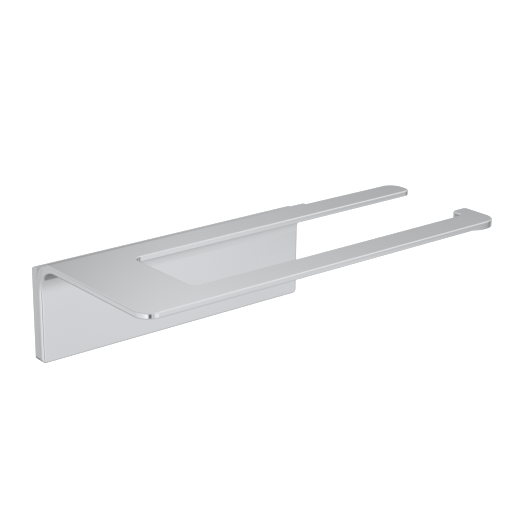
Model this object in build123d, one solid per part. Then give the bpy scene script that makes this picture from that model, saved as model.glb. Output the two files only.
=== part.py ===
from build123d import *
import os

# A towel shelf: one thick plate, bent to an L, whose shelf is cut into two arms that point right.
# A shallow carrier frame is screwed to the back of its wall leg and hangs on two wall brackets.
# Millimetres. X runs right along the wall, Y into the wall, Z up.
# The origin is the centre of the frame's rear rim, on the wall's surface.

# Overall sizes
total_length = 400.0       # left end to the far side of the hook
shelf_depth = 167.6        # wall to the front edge of the outer arm
wall_length = 287.0        # wall leg and carrier frame
frame_height = 86.4
shelf_rise = 8.2           # top of the shelf above the top of the frame

# Bent plate
plate_thickness = 5.6
bend_radius = 18.0         # outside of the bend
inside_radius = 24.0       # fillet inside the bend
edge_round = 1.2           # rounding of the shelf's edges
leg_round = 2.4            # rounding of the wall leg's front edges
flat_back = 1.5            # the leg's back, with sharp edges, is this thick
bend_overlap = 2.0         # the bend's profile runs this far into the flat shelf
leg_corner = 4.0           # lower corners of the wall leg
front_corner = 15.0        # the two front corners of the shelf
slot_corner = 8.0          # corners at the closed end of the slot
slot_start = 68.6          # left end to the slot
slot_rear = 53.1           # wall to the inner arm's front edge
slot_front = 138.6         # wall to the outer arm's rear edge
inner_arm_short = 1.0      # the inner arm ends this much before the hook does
inner_tip_rear = 14.0      # corner radii at the tip of the inner arm
inner_tip_front = 8.0
hook_width = 20.0
hook_reach = 14.4          # how far the hook stands back from the outer arm
hook_left_corner = 7.0
hook_right_corner = 4.0
hook_inside_corner = 2.5
hook_drop = 1.9            # the underside swells down by this at the hook
hook_ramp = 16.0           # length of the swelling's ramp

# Carrier frame
frame_depth = 7.5
frame_rim = 3.0            # thickness of the rim around the pocket
frame_web = 2.5            # thickness of the wall against the plate
frame_top_corner = 1.5
seat_height = 9.5          # the frame's front follows the plate's bend this far up
seat_gap = 0.06
pocket_corner = 2.0
hanger_ledge = 4.2         # depth of the ledge that hangs on a bracket's tab
hanger_rib = 2.2           # thickness of the rib that drops behind the tab
hanger_rib_drop = 5.4
hanger_margin = 4.0        # the ledge runs this far past the bracket at each end

# Wall brackets
bracket_spacing = 160.0
bracket_width = 50.0
bracket_thickness = 4.6
bracket_foot = 33.5        # the bracket reaches this far below the middle
bracket_tab = 2.2          # thickness of the tab along the bracket's top edge
bracket_tab_height = 6.0
bracket_corner = 3.0
wall_hole_spacing = 40.0
wall_hole_radius = 2.4
wall_sink_radius = 4.6
wall_sink_depth = 2.4

# Screws
frame_screw_columns = (-128.0, 0.0, 128.0)
frame_screw_rows = (-28.0, 28.0)
frame_screw_radius = 2.0
frame_screw_head = 3.8
frame_screw_head_depth = 1.8
frame_screw_bite = 3.4     # how far a frame screw enters the plate
frame_screw_play = 0.15    # around the screw in the frame's hole
tap_extra = 0.4            # a tapped hole is this much deeper than its screw
screw_chamfer = 0.4
grub_radius = 2.0
grub_length = 9.2
grub_from_wall = 2.9
key_size = 2.5             # across the flats of the hexagon sockets
key_depth = 1.4
thread_gap = 0.02          # between a screw and its tapped hole
near = 0.01                # tolerance for finding edges by their place

left = -wall_length / 2
right = left + total_length
frame_top = frame_height / 2
shelf_top = frame_top + shelf_rise
shelf_under = shelf_top - plate_thickness
leg_back = -frame_depth
leg_front = leg_back - plate_thickness
bend_line = leg_back - bend_radius        # where the bend runs out into the flat shelf
bend_foot = shelf_top - bend_radius
inside_line = leg_front - inside_radius   # the same for the fillet inside the bend
inside_foot = shelf_under - inside_radius
bend_end = inside_line - bend_overlap
web_back = -frame_depth + frame_web
pocket_top = frame_top - frame_rim
tab_top = pocket_top - hanger_ledge
bracket_centres = {"left": -bracket_spacing / 2, "right": bracket_spacing / 2}


def block(x, y, z):
    """A box from three (low, high) pairs."""
    size = [high - low for low, high in (x, y, z)]
    middle = [(high + low) / 2 for low, high in (x, y, z)]
    return Pos(*middle) * Box(*size)


def rounded_face(corners):
    """A flat face from (x, y, radius), with each corner rounded by its own radius."""
    face = make_face(Polyline(*[(x, y) for x, y, radius in corners], close=True)).face()
    for x, y, radius in corners:
        if radius > 0:
            corner = face.vertices().sort_by_distance((x, y, 0))[0]
            face = face.fillet_2d(radius, [corner])
    return face


def shelf_face():
    """The flat part of the shelf seen from above, with its two arms and the hook."""
    front = -shelf_depth
    tip = right - inner_arm_short
    hook_left = right - hook_width
    hook_rear = -slot_front + hook_reach
    corners = [
        (left, bend_line, 0),
        (left, front, front_corner),
        (right, front, front_corner),
        (right, hook_rear, hook_right_corner),
        (hook_left, hook_rear, hook_left_corner),
        (hook_left, -slot_front, hook_inside_corner),
        (left + slot_start, -slot_front, slot_corner),
        (left + slot_start, -slot_rear, slot_corner),
        (tip, -slot_rear, inner_tip_front),
        (tip, bend_line, inner_tip_rear),
    ]
    return rounded_face(corners)


def quarter_arc(radius, line, foot):
    """A quarter circle in the YZ plane, from the leg's side at height foot up to the shelf's side."""
    half = 2 ** -0.5 * radius
    return ThreePointArc((line + radius, foot), (line + half, foot + half), (line, foot + radius))


def leg_and_bend():
    """The wall leg and the bend above it, which runs a little way into the flat shelf."""
    profile = [
        Line((leg_back, -frame_top), (leg_back, bend_foot)),
        quarter_arc(bend_radius, bend_line, bend_foot),
        Line((bend_line, shelf_top), (bend_end, shelf_top)),
        Line((bend_end, shelf_top), (bend_end, shelf_under)),
        Line((bend_end, shelf_under), (inside_line, shelf_under)),
        quarter_arc(inside_radius, inside_line, inside_foot),
        Line((leg_front, inside_foot), (leg_front, -frame_top)),
        Line((leg_front, -frame_top), (leg_back, -frame_top)),
    ]
    leg = extrude(Plane.YZ.offset(left) * make_face(profile), wall_length, dir=(1, 0, 0))
    leg = fillet(leg_corners(leg), leg_corner)
    leg = fillet(end_edges(leg, bend_line, shelf_top), edge_round)
    leg = fillet(end_edges(leg, inside_line, shelf_under), leg_round)
    return leg + leg_back_plate()


def leg_corners(leg):
    """The two lower corners of the leg, as edges through its thickness."""
    return [e for e in leg.edges().filter_by(Axis.Y) if e.center().Z < 0]


def end_edges(leg, line, height):
    """The straight edges of the two end faces that start where a bend's arc meets the shelf."""
    starts = [(x, line, height) for x in (left, -left)]
    return [
        edge for edge in leg.edges().filter_by(Axis.Y)
        if any((Vector(*start) - edge @ end).length < near for start in starts for end in (0, 1))
    ]


def leg_back_plate():
    """The leg's back, which keeps its sharp edges where it lies on the carrier frame."""
    back = block((left, -left), (leg_back - flat_back, leg_back), (-frame_top, bend_foot))
    return fillet(leg_corners(back), leg_corner)


def shelf_slab():
    """The flat shelf with its arms, its rim rounded all round, and the swelling at the hook."""
    slab = Pos(0, 0, shelf_under) * extrude(shelf_face(), plate_thickness)
    outline = [e for e in slab.edges() if e.bounding_box().size.Z < near]
    return fillet(outline, edge_round) + hook_swelling()


def hook_swelling():
    """The underside of the outer arm, which swells down towards the hook."""
    start = right - hook_width - hook_ramp
    low = shelf_under - hook_drop
    middle = shelf_under + plate_thickness / 2
    column = Pos(0, 0, low) * extrude(shelf_face(), middle - low)
    column = fillet([e for e in column.edges() if e.bounding_box().max.Z < low + near], edge_round)
    level = start + hook_ramp
    ramp = Polyline(
        (start, shelf_under), (level, low), (right, low), (right, middle), (start, middle), close=True
    )
    wedge = extrude(Plane.XZ * make_face(ramp), shelf_depth)
    beyond_slot = block((left, right), (-shelf_depth, hook_reach - slot_front), (low, middle))
    return column & wedge & beyond_slot


def frame_screw_places():
    """The frame screws' axes, column by column, from the back of the frame's web towards the plate."""
    towards_plate = (90, 0, 0)
    return [
        Location((x, web_back, z), towards_plate) for x in frame_screw_columns for z in frame_screw_rows
    ]


def towel_plate():
    """The one-piece bent plate, with tapped blind holes in the back of its leg."""
    plate = leg_and_bend() + shelf_slab()
    depth = frame_web + frame_screw_bite + tap_extra
    for place in frame_screw_places():
        plate -= place * Pos(0, 0, depth / 2) * Cylinder(frame_screw_radius + thread_gap, depth)
    return plate


def countersink(radius, head_radius, depth, through):
    """A cutter along Z: a cone that opens at Z = 0 over a plain hole, which runs on to Z = through."""
    cone = Pos(0, 0, depth / 2) * Cone(head_radius, radius, depth)
    return cone + Pos(0, 0, through / 2) * Cylinder(radius, through)


def hexagon_socket():
    """The key socket of a screw, opening at Z = 0 and running along Z."""
    return extrude(RegularPolygon(key_size / 2, 6, major_radius=False), key_depth)


def frame_shell():
    """The frame's outer body with its rounded corners and front edges."""
    body = block((left, -left), (-frame_depth, 0), (-frame_top, frame_top))
    uprights = body.edges().filter_by(Axis.Y)
    body = fillet([e for e in uprights if e.center().Z < 0], leg_corner)
    return fillet([e for e in body.edges().filter_by(Axis.Y) if e.center().Z > 0], frame_top_corner)


def bend_seat():
    """The wedge on the frame's front that fills the foot of the gap behind the plate's bend."""
    block_front = leg_back - plate_thickness / 2
    seat = block((left, -left), (block_front, leg_back), (bend_foot, bend_foot + seat_height))
    bend = Rot(0, 90, 0) * Cylinder(bend_radius + seat_gap, 2 * wall_length)
    return seat - Pos(0, bend_line, bend_foot) * bend


def back_frame():
    """The carrier frame: a shallow tray, open to the wall, with a hanging ledge over each bracket."""
    inner = wall_length / 2 - frame_rim
    pocket = block((-inner, inner), (web_back, 0), (-pocket_top, pocket_top))
    frame = frame_shell() - fillet(pocket.edges().filter_by(Axis.Y), pocket_corner) + bend_seat()
    grub_hole = Cylinder(grub_radius + thread_gap, 2 * frame_rim)
    for centre in bracket_centres.values():
        frame += hanging_ledge(centre)
        frame -= Pos(centre, -grub_from_wall, -frame_top + frame_rim / 2) * grub_hole
    hole = countersink(
        frame_screw_radius + frame_screw_play, frame_screw_head + frame_screw_play,
        frame_screw_head_depth, 2 * frame_web,
    )
    for place in frame_screw_places():
        frame -= place * hole
    return frame


def hanging_ledge(centre):
    """A ledge under the frame's top rim that rests on a bracket's tab, and a rib that drops behind it."""
    half = bracket_width / 2 + hanger_margin
    span = (centre - half, centre + half)
    ledge = block(span, (web_back, 0), (tab_top, pocket_top))
    rib = block(span, (-hanger_rib, 0), (tab_top - hanger_rib_drop, tab_top))
    return ledge + rib


def wall_bracket(centre):
    """A machined plate with a stepped tab along its top edge and two countersunk wall-screw holes."""
    span = (centre - bracket_width / 2, centre + bracket_width / 2)
    plate = block(span, (-bracket_thickness, 0), (-bracket_foot, tab_top))
    plate = fillet([e for e in plate.edges().filter_by(Axis.Y) if e.center().Z < 0], bracket_corner)
    plate -= block(span, (-bracket_thickness + bracket_tab, 0), (tab_top - bracket_tab_height, tab_top))
    hole = countersink(wall_hole_radius, wall_sink_radius, wall_sink_depth, 2 * bracket_thickness)
    for height in (-wall_hole_spacing / 2, wall_hole_spacing / 2):
        plate -= Location((centre, -bracket_thickness, height), (-90, 0, 0)) * hole
    return plate


def frame_screw():
    """A countersunk socket screw along Z, its head's face at Z = 0."""
    length = frame_web + frame_screw_bite
    body = countersink(frame_screw_radius, frame_screw_head, frame_screw_head_depth, length)
    return chamfer(body.edges().sort_by(Axis.Z)[-1], screw_chamfer) - hexagon_socket()


def grub_screw():
    """A flat-ended set screw along Z, its socket's face at Z = 0."""
    body = Pos(0, 0, grub_length / 2) * Cylinder(grub_radius, grub_length)
    return chamfer(body.edges().filter_by(GeomType.CIRCLE), screw_chamfer) - hexagon_socket()


def all_parts():
    """Every piece by its node name."""
    parts = {"towel_plate": towel_plate(), "back_frame": back_frame()}
    for side, centre in bracket_centres.items():
        parts[f"wall_bracket_{side}"] = wall_bracket(centre)
        grub_foot = -bracket_foot - grub_length
        parts[f"grub_screw_{side}"] = Pos(centre, -grub_from_wall, grub_foot) * grub_screw()
    for number, place in enumerate(frame_screw_places(), start=1):
        parts[f"frame_screw_{number}"] = place * frame_screw()
    return parts


os.makedirs("parts", exist_ok=True)
for node, shape in all_parts().items():
    export_step(shape, f"parts/{node}.step")
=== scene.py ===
from math import pi, radians

import bmesh
import bpy
from mathutils import Euler, Matrix, Vector


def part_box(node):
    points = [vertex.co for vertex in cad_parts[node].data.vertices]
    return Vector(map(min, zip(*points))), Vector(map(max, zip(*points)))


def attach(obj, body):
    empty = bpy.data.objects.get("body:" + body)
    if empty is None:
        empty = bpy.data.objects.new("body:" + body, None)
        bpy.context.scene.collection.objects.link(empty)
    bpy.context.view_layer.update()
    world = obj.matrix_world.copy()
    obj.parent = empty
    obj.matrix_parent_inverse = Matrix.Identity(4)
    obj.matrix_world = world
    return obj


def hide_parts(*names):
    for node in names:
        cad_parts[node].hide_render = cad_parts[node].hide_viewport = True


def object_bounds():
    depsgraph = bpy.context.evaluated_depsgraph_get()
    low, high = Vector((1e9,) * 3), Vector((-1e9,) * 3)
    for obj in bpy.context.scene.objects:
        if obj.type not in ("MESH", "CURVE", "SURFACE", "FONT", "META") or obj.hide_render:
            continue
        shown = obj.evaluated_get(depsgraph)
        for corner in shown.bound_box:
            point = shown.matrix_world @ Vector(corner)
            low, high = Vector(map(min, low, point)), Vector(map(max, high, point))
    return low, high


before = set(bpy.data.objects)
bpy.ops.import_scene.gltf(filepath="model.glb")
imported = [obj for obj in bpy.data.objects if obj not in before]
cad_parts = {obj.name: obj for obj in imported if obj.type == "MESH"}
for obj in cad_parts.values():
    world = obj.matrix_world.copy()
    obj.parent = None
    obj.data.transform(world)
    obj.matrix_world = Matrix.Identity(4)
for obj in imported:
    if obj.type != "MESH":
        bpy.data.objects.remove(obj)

cadLow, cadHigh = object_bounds()
mm = 0.001
near = 1e-6      # points closer than this are taken as one
scene = bpy.context.scene
print("frame loaded:", len(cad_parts), "nodes")


# shared helpers

def finishedPiece(bm, name, material, bevelled=True):
    mesh = bpy.data.meshes.new(name)
    bm.to_mesh(mesh)
    bm.free()
    mesh.shade_smooth()
    piece = bpy.data.objects.new(name, mesh)
    scene.collection.objects.link(piece)
    mesh.materials.append(material)
    if bevelled:
        flats = piece.modifiers.new("flat faces stay flat", "WEIGHTED_NORMAL")
        flats.mode = "FACE_AREA"
        flats.weight = 100
        flats.keep_sharp = False
    return piece


def vertAt(bm, x, y, z):
    place = Vector((x, y, z))
    return min(bm.verts, key=lambda v: (v.co - place).length)


# materials

def nodeMaker(tree):
    def make(kind, label="", **values):
        node = tree.nodes.new(kind)
        node.label = label
        for key, value in values.items():
            setattr(node, key, value)
        return node
    return make


# how fine the marks on the metal are; hairlines run along the wall
polish = {"hazeScale": 22.0, "hazeDetail": 3.0, "hairScale": (30.0, 1400.0, 1400.0), "hairDetail": 2.0,
          "rippleDetail": 1.0}


def buildPolishGroup():
    # polished metal: a slow haze from wiping, faint hairlines and the soft ripple of plating
    group = bpy.data.node_groups.new("polishMarks", "ShaderNodeTree")
    socket = group.interface.new_socket
    socket("Vector", in_out="INPUT", socket_type="NodeSocketVector")
    for name, value in (("Base Roughness", 0.06), ("Haze", 0.03), ("Hairlines", 0.02), ("Ripple Size", 90.0)):
        socket(name, in_out="INPUT", socket_type="NodeSocketFloat").default_value = value
    socket("Roughness", in_out="OUTPUT", socket_type="NodeSocketFloat")
    socket("Height", in_out="OUTPUT", socket_type="NodeSocketFloat")
    make = nodeMaker(group)
    link = group.links.new
    given = make("NodeGroupInput")
    out = make("NodeGroupOutput")

    haze = make("ShaderNodeTexNoise", "wiping haze")
    haze.inputs["Scale"].default_value = polish["hazeScale"]
    haze.inputs["Detail"].default_value = polish["hazeDetail"]
    link(given.outputs["Vector"], haze.inputs["Vector"])

    stretch = make("ShaderNodeMapping", "hairlines run along the wall")
    stretch.inputs["Scale"].default_value = polish["hairScale"]
    hair = make("ShaderNodeTexNoise", "hairlines")
    hair.inputs["Scale"].default_value = 1.0
    hair.inputs["Detail"].default_value = polish["hairDetail"]
    link(given.outputs["Vector"], stretch.inputs["Vector"])
    link(stretch.outputs["Vector"], hair.inputs["Vector"])

    hazeAmount = make("ShaderNodeMath", "haze amount", operation="MULTIPLY")
    hairAmount = make("ShaderNodeMath", "hairline amount", operation="MULTIPLY")
    link(haze.outputs["Fac"], hazeAmount.inputs[0])
    link(given.outputs["Haze"], hazeAmount.inputs[1])
    link(hair.outputs["Fac"], hairAmount.inputs[0])
    link(given.outputs["Hairlines"], hairAmount.inputs[1])
    both = make("ShaderNodeMath", "marks", operation="ADD")
    link(hazeAmount.outputs[0], both.inputs[0])
    link(hairAmount.outputs[0], both.inputs[1])
    rough = make("ShaderNodeMath", "roughness", operation="ADD")
    link(both.outputs[0], rough.inputs[0])
    link(given.outputs["Base Roughness"], rough.inputs[1])
    link(rough.outputs[0], out.inputs["Roughness"])

    ripple = make("ShaderNodeTexNoise", "plating ripple")
    ripple.inputs["Detail"].default_value = polish["rippleDetail"]
    link(given.outputs["Vector"], ripple.inputs["Vector"])
    link(given.outputs["Ripple Size"], ripple.inputs["Scale"])
    link(ripple.outputs["Fac"], out.inputs["Height"])
    return group


polishGroup = buildPolishGroup()


def metalMaterial(name, values):
    material = bpy.data.materials.new(name)
    material.use_nodes = True
    tree = material.node_tree
    make = nodeMaker(tree)
    link = tree.links.new
    shader = tree.nodes["Principled BSDF"]
    shader.inputs["Base Color"].default_value = (*values["colour"], 1.0)
    shader.inputs["Metallic"].default_value = 1.0
    where = make("ShaderNodeTexCoord")
    marks = make("ShaderNodeGroup", "polish marks", node_tree=polishGroup)
    for key, socketName in (("roughness", "Base Roughness"), ("haze", "Haze"),
                            ("hairlines", "Hairlines"), ("rippleSize", "Ripple Size")):
        marks.inputs[socketName].default_value = values[key]
    link(where.outputs["Object"], marks.inputs["Vector"])
    link(marks.outputs["Roughness"], shader.inputs["Roughness"])
    bump = make("ShaderNodeBump", "surface")
    bump.inputs["Strength"].default_value = values["bump"]
    bump.inputs["Distance"].default_value = values["bumpDepth"]
    link(marks.outputs["Height"], bump.inputs["Height"])
    link(bump.outputs["Normal"], shader.inputs["Normal"])
    return material


finishes = {
    "chromePlate": {"colour": (0.79, 0.80, 0.825), "roughness": 0.045, "haze": 0.03, "hairlines": 0.01,
                    "rippleSize": 60.0, "bump": 0.02, "bumpDepth": 0.0002},
    "chromeFrame": {"colour": (0.76, 0.77, 0.79), "roughness": 0.08, "haze": 0.06, "hairlines": 0.02,
                    "rippleSize": 160.0, "bump": 0.05, "bumpDepth": 0.0002},
    "brushedBracket": {"colour": (0.60, 0.60, 0.59), "roughness": 0.24, "haze": 0.10, "hairlines": 0.22,
                       "rippleSize": 400.0, "bump": 0.12, "bumpDepth": 0.0003},
    "zincScrew": {"colour": (0.58, 0.585, 0.60), "roughness": 0.20, "haze": 0.14, "hairlines": 0.05,
                  "rippleSize": 900.0, "bump": 0.15, "bumpDepth": 0.0002},
}
materials = {name: metalMaterial(name, values) for name, values in finishes.items()}
print("materials:", ", ".join(materials))


# the bent plate

# lengths in millimetres; slotRear and slotFront are measured from the wall
plate = {
    "thickness": 5.6, "bendRadius": 18.0, "insideRadius": 24.0, "wallLength": 287.0,
    "edgeRound": 1.2, "legRound": 2.4, "legCorner": 4.0, "frontCorner": 15.0,
    "slotCorner": 8.0, "slotStart": 68.6, "slotRear": 53.1, "slotFront": 138.6,
    "innerArmShort": 1.0, "tipRear": 14.0, "tipFront": 8.0,
    "hookWidth": 20.0, "hookReach": 14.4, "hookLeft": 7.0, "hookRight": 4.0, "hookInside": 2.5,
    "hookDrop": 1.9, "hookRamp": 16.0,
    "rampSteps": 12, "cornerSteps": 24, "bendSteps": 48, "edgeSteps": 6,
    "flatWithin": 0.2, "roundedFrom": 50.0,      # degrees between faces
}


def plateLines(low, high):
    # the places that the plate's faces and bends share, in metres
    p = plate
    class lines:
        left, tip, right = low.x, high.x - p["innerArmShort"] * mm, high.x
        legRight = low.x + p["wallLength"] * mm
        legBack, legFront = high.y, high.y - p["thickness"] * mm
        top, under, foot = high.z, high.z - p["thickness"] * mm, low.z
        bendLine, bendFoot = legBack - p["bendRadius"] * mm, top - p["bendRadius"] * mm
        insideLine, insideFoot = legFront - p["insideRadius"] * mm, under - p["insideRadius"] * mm
        slotLeft, front = low.x + p["slotStart"] * mm, low.y
        slotRear, slotFront = -p["slotRear"] * mm, -p["slotFront"] * mm
        hookLeft, hookRear = right - p["hookWidth"] * mm, slotFront + p["hookReach"] * mm
    return lines


def shelfCorners(at):
    p = plate
    return [
        (at.left, at.insideLine, 0), (at.left, at.front, p["frontCorner"]),
        (at.right, at.front, p["frontCorner"]), (at.right, at.hookRear, p["hookRight"]),
        (at.hookLeft, at.hookRear, p["hookLeft"]), (at.hookLeft, at.slotFront, p["hookInside"]),
        (at.slotLeft, at.slotFront, p["slotCorner"]), (at.slotLeft, at.slotRear, p["slotCorner"]),
        (at.tip, at.slotRear, p["tipFront"]), (at.tip, at.bendLine, p["tipRear"]),
        (at.legRight, at.bendLine, 0), (at.legRight, at.insideLine, 0),
    ]


def bend(bm, start, line, foot):
    # a quarter bend from the shelf's level down to the leg, on from a point
    turned = bmesh.ops.spin(bm, geom=[start], cent=(0, line, foot), axis=(1, 0, 0), angle=-pi / 2,
                            steps=plate["bendSteps"], dvec=(0, 0, 0))
    return next(g for g in turned["geom_last"] if isinstance(g, bmesh.types.BMVert))


def drawOut(bm, faces, way):
    moved = bmesh.ops.extrude_face_region(bm, geom=faces, use_keep_orig=True)["geom"]
    bmesh.ops.translate(bm, verts=[g for g in moved if isinstance(g, bmesh.types.BMVert)], vec=way)


def addLeg(bm, at):
    # the section at the left end, drawn out along the wall
    shelfTop, bendTop = (bm.verts.new((at.left, y, at.top)) for y in (at.insideLine, at.bendLine))
    shelfUnder = bm.verts.new((at.left, at.insideLine, at.under))
    backFoot, frontFoot = (bm.verts.new((at.left, y, at.foot)) for y in (at.legBack, at.legFront))
    backBend = bend(bm, bendTop, at.bendLine, at.bendFoot)
    frontBend = bend(bm, shelfUnder, at.insideLine, at.insideFoot)
    for ends in ((bendTop, shelfTop), (shelfTop, shelfUnder), (backBend, backFoot),
                 (backFoot, frontFoot), (frontFoot, frontBend)):
        bm.edges.new(ends)
    bmesh.ops.edgenet_fill(bm, edges=bm.edges[:])
    drawOut(bm, bm.faces[:], (at.legRight - at.left, 0, 0))
    # the part of the right end that the inner arm carries on from
    end = max(bm.faces, key=lambda f: f.calc_center_median().x)
    bmesh.utils.face_split(end, vertAt(bm, at.legRight, at.bendLine, at.top),
                           vertAt(bm, at.legRight, at.insideLine, at.under),
                           coords=[(at.legRight, at.bendLine, at.under)])
    for x in (at.left, at.legRight):
        corner = [e for e in bm.edges
                  if all(v.co.z < at.foot + mm and abs(v.co.x - x) < near for v in e.verts)]
        bmesh.ops.bevel(bm, geom=corner, offset=plate["legCorner"] * mm, offset_type="OFFSET",
                        segments=plate["cornerSteps"] // 2, profile=0.5, affect="EDGES",
                        clamp_overlap=False, material=-1)


def addShelf(bm, at):
    corners = shelfCorners(at)
    legFaces = set(bm.faces)
    shelf = bm.faces.new([bm.verts.new((x, y, at.top)) for x, y, radius in corners])
    for x, y, radius in corners:
        if radius:
            corner = min(shelf.verts, key=lambda v: (v.co.x - x) ** 2 + (v.co.y - y) ** 2)
            bmesh.ops.bevel(bm, geom=[corner], offset=radius * mm, offset_type="OFFSET",
                            segments=plate["cornerSteps"], profile=0.5, affect="VERTICES",
                            clamp_overlap=False, material=-1)
            shelf = next(f for f in bm.faces if f not in legFaces)
    drawOut(bm, [shelf], (0, 0, at.under - at.top))


def joinShelf(bm, at):
    # the walls where shelf and leg meet go, and what is flat becomes one face again
    middle = (at.top + at.under) / 2
    def isInside(face):
        x, y, z = face.calc_center_median()
        if abs(z - middle) > 10 * near:
            return False
        acrossShelf = abs(y - at.insideLine) < near and x < at.legRight
        besideArm = abs(x - at.legRight) < near and at.insideLine < y < at.bendLine
        return acrossShelf or besideArm
    bmesh.ops.delete(bm, geom=[f for f in bm.faces if isInside(f)], context="FACES")
    bmesh.ops.remove_doubles(bm, verts=bm.verts, dist=near)
    bmesh.ops.dissolve_limit(bm, angle_limit=radians(plate["flatWithin"]), verts=bm.verts, edges=bm.edges)
    bmesh.ops.recalc_face_normals(bm, faces=bm.faces)


def swellHook(bm, at):
    # the underside of the outer arm comes down smoothly towards the hook
    p = plate
    start, ramp = at.hookLeft - p["hookRamp"] * mm, p["hookRamp"] * mm
    for step in range(p["rampSteps"] + 1):
        bmesh.ops.bisect_plane(bm, geom=bm.verts[:] + bm.edges[:] + bm.faces[:], dist=1e-7,
                               plane_co=(start + ramp * step / p["rampSteps"], 0, 0), plane_no=(1, 0, 0))
    for v in bm.verts:
        if v.co.z < at.under + mm and v.co.x > start and v.co.y < at.hookRear + mm:
            t = min((v.co.x - start) / ramp, 1)
            v.co.z -= p["hookDrop"] * mm * t * t * (3 - 2 * t)


def edgeRadius(edge, at):
    # the leg's front edges are rounder than the shelf's; its back edges are sharp against the frame
    p = plate
    middle = (edge.verts[0].co + edge.verts[1].co) / 2
    if not edge.is_convex or middle.y > at.legBack - 10 * near:
        return 0
    if middle.y > at.insideLine and middle.z < at.under - 10 * near:
        fromAxis = Vector((middle.y - at.bendLine, middle.z - at.bendFoot)).length
        if middle.z > at.bendFoot and fromAxis > (p["bendRadius"] - 1) * mm:
            return p["edgeRound"] * (middle.z - at.bendFoot) / (at.top - at.bendFoot)
        share = max(middle.z - at.insideFoot, 0) / (at.under - at.insideFoot)
        return p["legRound"] + (p["edgeRound"] - p["legRound"]) * share ** 2
    return p["edgeRound"]


def buildPlate():
    low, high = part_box("towel_plate")
    at = plateLines(low, high)
    bm = bmesh.new()
    addLeg(bm, at)
    addShelf(bm, at)
    joinShelf(bm, at)
    swellHook(bm, at)
    weights = bm.edges.layers.float.new("bevel_weight_edge")
    for edge in bm.edges:
        if edge.is_manifold and edge.calc_face_angle() > radians(plate["roundedFrom"]):
            edge[weights] = edgeRadius(edge, at) / plate["legRound"]
    print("plate: open edges", sum(not e.is_manifold for e in bm.edges))
    piece = finishedPiece(bm, "towelPlate", materials["chromePlate"])
    rounding = piece.modifiers.new("rounded edges", "BEVEL")
    rounding.limit_method = "WEIGHT"
    rounding.width = plate["legRound"] * mm
    rounding.segments = plate["edgeSteps"]
    rounding.use_clamp_overlap = False
    piece.modifiers.move(1, 0)
    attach(piece, "root")
    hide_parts("towel_plate")
    return piece


towelPlate = buildPlate()
print("towel plate:", len(towelPlate.data.polygons), "faces")


# the pieces behind it keep their CAD shapes

nodeFinish = {"back_frame": "chromeFrame", "wall_bracket": "brushedBracket",
              "frame_screw": "zincScrew", "grub_screw": "zincScrew"}
for node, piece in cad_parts.items():
    for start, finish in nodeFinish.items():
        if node.startswith(start):
            piece.data.materials.clear()
            piece.data.materials.append(materials[finish])
print("hardware finished")


# studio

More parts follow.
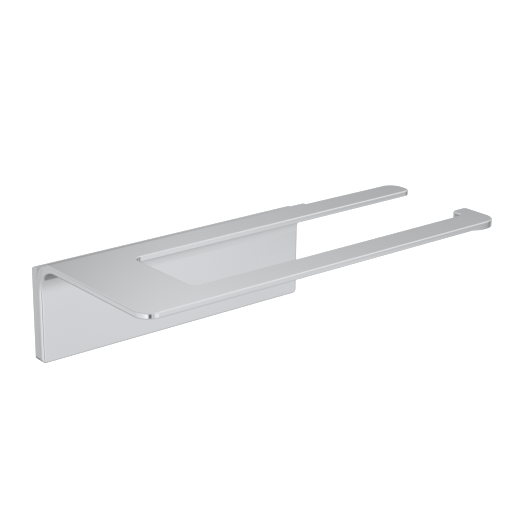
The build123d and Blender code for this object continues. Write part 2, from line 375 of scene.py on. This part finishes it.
studio = {
    "floorDrop": 1.0, "floorSize": 60.0, "floorColour": (0.93, 0.93, 0.93),
    "floorRoughness": 0.9, "floorGlow": 0.6, "backdrop": 1.0, "lightLevel": 2.0,
    "secondLook": 0.55,      # how bright the room is in a reflection of a reflection
    # the room's brightness in rings from the floor (-1) to the ceiling (1): height, ring, level
    "rings": [(-0.92, "floor", 1.0), (-0.62, "nearFloor", 1.0), (-0.46, "skirting", 1.0),
        (-0.395, "walls", 0.95), (-0.345, "walls", 1.0), (-0.285, "shelves", 1.0), (0.0, "panels", 1.0),
        (0.24, "panels", 1.02), (0.28, "lamps", 0.262), (0.30, "lamps", 0.287), (0.325, "lamps", 0.317),
        (0.345, "lamps", 0.353), (0.375, "lamps", 0.395), (0.5, "ceiling", 0.93),
        (0.75, "ceiling", 1.0), (0.9, "ceiling", 0.75)],
    # each ring in degrees: 0 is the wall side, 90 the right, -90 the left, 180 the front
    "floor": [(-180, 0.31), (-60, 0.31), (-42, 0.22), (-26, 0.12), (0, 0.14), (30, 0.22), (60, 0.20),
        (86, 0.21), (96, 0.30), (140, 0.31), (180, 0.31)],
    "nearFloor": [(-180, 0.38), (-90, 0.40), (-60, 0.35), (-42, 0.26), (-26, 0.12), (0, 0.15),
        (30, 0.24), (60, 0.21), (95, 0.23), (112, 0.30), (122, 0.325), (135, 0.36), (148, 0.375),
        (165, 0.39), (180, 0.38)],
    "skirting": [(-180, 0.40), (-165, 0.36), (-152, 0.25), (-140, 0.42), (-100, 0.43), (-60, 0.37),
        (-42, 0.29), (-26, 0.15), (0, 0.17), (25, 0.26), (60, 0.26), (100, 0.27), (122, 0.32),
        (135, 0.37), (146, 0.395), (165, 0.44), (180, 0.40)],
    "walls": [(-180, 0.37), (-175, 0.33), (-171, 0.34), (-166, 0.44), (-162, 0.30), (-157, 0.10),
        (-150, 0.06), (-146, 0.10), (-142, 0.30), (-138, 0.52), (-130, 0.62), (-122, 0.54),
        (-112, 0.50), (-98, 0.45), (-75, 0.43), (-52, 0.38), (-34, 0.39), (-31.6, 0.37), (-30.4, 0.305),
        (-15, 0.30), (40, 0.34), (86, 0.36), (98, 0.26), (112, 0.20), (131, 0.22), (132.2, 0.34),
        (136.7, 0.388), (141, 0.39), (144, 0.415), (150, 0.408), (157, 0.53), (169, 0.50)],
    "shelves": [(-180, 0.40), (-160, 0.30), (-148, 0.25), (-130, 0.42), (-115, 0.42), (-75, 0.42),
        (-50, 0.38), (-35, 0.34), (-24, 0.26), (0, 0.25), (28, 0.21), (40, 0.26), (66, 0.37),
        (90, 0.34), (98, 0.18), (112, 0.13), (131, 0.19), (132.2, 0.278), (137.5, 0.28), (139.5, 0.325),
        (141, 0.37), (142.5, 0.41), (160, 0.43), (180, 0.42)],
    "panels": [(-180, 0.42), (-160, 0.30), (-148, 0.20), (-130, 0.35), (-115, 0.42), (-75, 0.42),
        (-45, 0.30), (-30, 0.275), (-5, 0.22), (25, 0.18), (30, 0.20), (35, 0.24), (42, 0.29),
        (60, 0.36), (90, 0.32), (110, 0.16), (126, 0.18), (133, 0.28), (137, 0.325), (139, 0.40),
        (143, 0.42), (180, 0.43)],
    "lamps": [(-180, 1.15), (-90, 1.05), (-55, 1.0), (-30, 1.0), (0, 0.80), (22, 0.65), (31, 0.78),
        (33, 0.90), (35, 0.985), (36.5, 1.01), (40.5, 0.955), (44.5, 0.895), (48, 0.87), (60, 0.95),
        (90, 0.90), (112, 0.60), (128, 0.75), (136, 1.05), (143, 1.2), (180, 1.2)],
    "ceiling": [(-180, 0.45), (-90, 0.43), (-45, 0.31), (-10, 0.35), (8, 0.41), (24, 0.43), (35, 0.43),
        (60, 0.43), (85, 0.46), (95, 0.52), (120, 0.53), (180, 0.50)],
}


def buildFloor():
    bm = bmesh.new()
    bmesh.ops.create_grid(bm, x_segments=1, y_segments=1, size=studio["floorSize"] / 2)
    bmesh.ops.translate(bm, verts=bm.verts, vec=(0, 0, cadLow.z - studio["floorDrop"]))
    material = bpy.data.materials.new("paleFloor")
    material.use_nodes = True
    shader = material.node_tree.nodes["Principled BSDF"]
    shader.inputs["Base Color"].default_value = (*studio["floorColour"], 1.0)
    shader.inputs["Roughness"].default_value = studio["floorRoughness"]
    shader.inputs["Emission Color"].default_value = (1, 1, 1, 1)
    shader.inputs["Emission Strength"].default_value = studio["floorGlow"]
    floor = finishedPiece(bm, "floor", material, bevelled=False)
    floor.visible_glossy = False


def buildWorld():
    world = bpy.data.worlds.new("studio")
    scene.world = world
    world.use_nodes = True
    tree = world.node_tree
    tree.nodes.clear()
    make = nodeMaker(tree)
    link = tree.links.new
    out = make("ShaderNodeOutputWorld")
    direction = make("ShaderNodeTexCoord")
    split = make("ShaderNodeSeparateXYZ")
    link(direction.outputs["Generated"], split.inputs[0])

    def share(label, source, low, high):
        node = make("ShaderNodeMapRange", label)
        node.inputs["From Min"].default_value = low
        node.inputs["From Max"].default_value = high
        link(source, node.inputs["Value"])
        return node.outputs["Result"]

    def ring(name, level):
        node = make("ShaderNodeValToRGB", name)
        elements = node.color_ramp.elements
        elements.remove(elements[-1])
        for number, (degrees, value) in enumerate(studio[name]):
            element = elements[0] if number == 0 else elements.new((degrees + 180) / 360)
            element.position = (degrees + 180) / 360
            element.color = (value * level, value * level, value * level, 1)
        link(turn, node.inputs["Fac"])
        return node.outputs["Color"]

    around = make("ShaderNodeMath", "way round the room", operation="ARCTAN2")
    link(split.outputs["X"], around.inputs[0])
    link(split.outputs["Y"], around.inputs[1])
    turn = share("round from the front", around.outputs[0], -pi, pi)
    heights = studio["rings"]
    room = ring(heights[0][1], heights[0][2])
    for (below, lastName, _), (height, name, level) in zip(heights, heights[1:]):
        node = make("ShaderNodeMix", f"{lastName} to {name}", data_type="RGBA")
        link(share(f"up to {height}", split.outputs["Z"], below, height), node.inputs["Factor"])
        link(room, node.inputs["A"])
        link(ring(name, level), node.inputs["B"])
        room = node.outputs["Result"]

    path = make("ShaderNodeLightPath")
    later = share("second reflections", path.outputs["Ray Depth"], 2, 3)
    level = make("ShaderNodeMapRange", "light level")
    level.inputs["To Min"].default_value = studio["lightLevel"]
    level.inputs["To Max"].default_value = studio["lightLevel"] * studio["secondLook"]
    link(later, level.inputs["Value"])
    light = make("ShaderNodeBackground", "studio light")
    link(level.outputs["Result"], light.inputs["Strength"])
    link(room, light.inputs["Color"])
    seen = make("ShaderNodeBackground", "white backdrop")
    seen.inputs["Strength"].default_value = studio["backdrop"]
    choose = make("ShaderNodeMixShader")
    link(path.outputs["Is Camera Ray"], choose.inputs["Fac"])
    link(light.outputs[0], choose.inputs[1])
    link(seen.outputs[0], choose.inputs[2])
    link(choose.outputs[0], out.inputs["Surface"])


camera = {
    "place": (-0.7478, -1.0485, 0.4797), "yaw": 39.41, "pitch": 19.90, "roll": 0.71,
    "lens": 101.4, "sensor": 36, "farthest": 50,
}


def buildCamera():
    data = bpy.data.cameras.new("camera")
    data.lens = camera["lens"]
    data.sensor_width = camera["sensor"]
    data.clip_end = camera["farthest"]
    cam = bpy.data.objects.new("camera", data)
    scene.collection.objects.link(cam)
    aim = Euler((radians(90 - camera["pitch"]), 0, radians(-camera["yaw"]))).to_matrix()
    turn = aim @ Matrix.Rotation(radians(camera["roll"]), 3, "Z")
    cam.matrix_world = Matrix.Translation(camera["place"]) @ turn.to_4x4()
    scene.camera = cam


buildFloor()
buildWorld()
buildCamera()
scene.view_settings.view_transform = "Standard"
print("studio ready")
